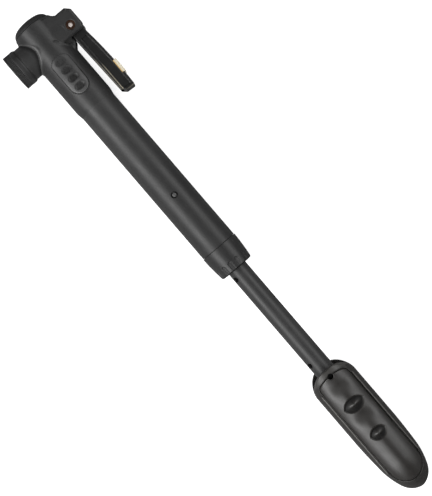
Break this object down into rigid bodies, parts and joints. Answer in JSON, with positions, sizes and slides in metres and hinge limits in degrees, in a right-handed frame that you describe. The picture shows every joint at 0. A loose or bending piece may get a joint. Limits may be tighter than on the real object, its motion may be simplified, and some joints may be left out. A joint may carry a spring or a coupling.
{
  "type": "telescopic hand air pump",
  "caption": "Telescopic bicycle hand pump, extended, with a flip lever, screw-on valve cap, guided push rod and a split handle with soft grips.",
  "frame": {"origin": "under the middle of the pump's bounding box, on the surface it lies on", "axes": "+X from the head cap to the handle tip along the pump's axis, +Y the lever side, +Z the front, away from the surface"},
  "size_m": [0.366, 0.0518, 0.0304],
  "materials": {
    "head_plastic": "grained matt charcoal moulding",
    "cap_plastic": "matt charcoal moulding",
    "lever_plastic": "satin black moulding, glossier than the head",
    "label_plastic": "plain cream-gold plate",
    "barrel_plastic": "grained matt charcoal tube",
    "collar_plastic": "matt charcoal moulding",
    "rod_plastic": "satin charcoal tube",
    "handle_plastic": "grained matt charcoal moulding",
    "grip_rubber": "soft satin grip",
    "seal_rubber": "black seal rubber",
    "pin_steel": "bright pin",
    "bush_bronze": "brown bearing bush",
    "screw_steel": "zinc-plated steel",
    "valve_white": "natural acetal",
    "washer_plastic": "hard black washer"
  },
  "bodies": {
    "barrel": {"head_body": "head_plastic", "head_cap": "cap_plastic", "head_badge": "grip_rubber", "barrel_tube": "barrel_plastic", "barrel_gasket": "seal_rubber", "catch_pin": "collar_plastic", "collar": "collar_plastic", "rod_guide_bush": "valve_white", "rod_wiper": "seal_rubber", "check_valve_seat": "valve_white", "check_valve_spring": "screw_steel", "valve_grommet": "seal_rubber", "lever_pin": "pin_steel", "lever_pin_bush_front": "bush_bronze", "lever_pin_bush_rear": "bush_bronze"},
    "check_valve": {"check_valve_disc": "seal_rubber"},
    "lever": {"flip_lever": "lever_plastic", "lever_label": "label_plastic"},
    "plunger": {"plunger": "valve_white", "plunger_oring": "seal_rubber", "core_depressor": "valve_white"},
    "grommet_clamp": {"grommet_washer": "washer_plastic"},
    "valve_cap": {"valve_cap": "cap_plastic"},
    "piston": {"piston": "valve_white", "piston_seal": "seal_rubber"},
    "handle": {"piston_screw": "screw_steel", "rod_plug": "rod_plastic", "push_rod": "rod_plastic", "handle_front_shell": "handle_plastic", "handle_rear_shell": "handle_plastic", "front_grip": "grip_rubber", "rear_grip": "grip_rubber", "rod_anchor_pin": "pin_steel", "stop_bumper": "seal_rubber", "handle_screw_lever_side": "screw_steel", "handle_screw_valve_side": "screw_steel"}
  },
  "joints": [
    {"name": "piston_slide", "type": "slide", "parent": "barrel", "child": "piston", "axis": [1, 0, 0], "range_m": [-0.1417, 0]},
    {"name": "handle_spin", "type": "hinge", "parent": "piston", "child": "handle", "pos_m": [0.117, -0.00075, 0.0152], "axis": [1, 0, 0], "continuous": true},
    {"name": "lever_flip", "type": "hinge", "parent": "barrel", "child": "lever", "pos_m": [-0.1638, 0.01825, 0.0152], "axis": [0, 0, 1], "range_deg": [0, 90]},
    {"name": "plunger_push", "type": "slide", "parent": "barrel", "child": "plunger", "axis": [0, -1, 0], "range_m": [0, 0.0021], "deforming": ["valve_grommet"]},
    {"name": "check_valve_lift", "type": "slide", "parent": "barrel", "child": "check_valve", "axis": [-1, 0, 0], "range_m": [0, 0.001], "stiffness_N_per_m": 200, "springref_m": -0.002, "deforming": ["check_valve_spring"]},
    {"name": "valve_cap_advance", "type": "slide", "parent": "barrel", "child": "grommet_clamp", "axis": [0, -1, 0], "range_m": [0, 0.0046], "deforming": ["valve_grommet"]},
    {"name": "valve_cap_turn", "type": "hinge", "parent": "grommet_clamp", "child": "valve_cap", "pos_m": [-0.1651, -0.02075, 0.0152], "axis": [0, -1, 0], "range_deg": [0, 1080]}
  ],
  "couplings": [
    {"joint": "plunger_push", "follows": "lever_flip", "m_per_rad": 0.001273},
    {"joint": "valve_cap_advance", "follows": "valve_cap_turn", "m_per_rad": 0.00023873}
  ]
}
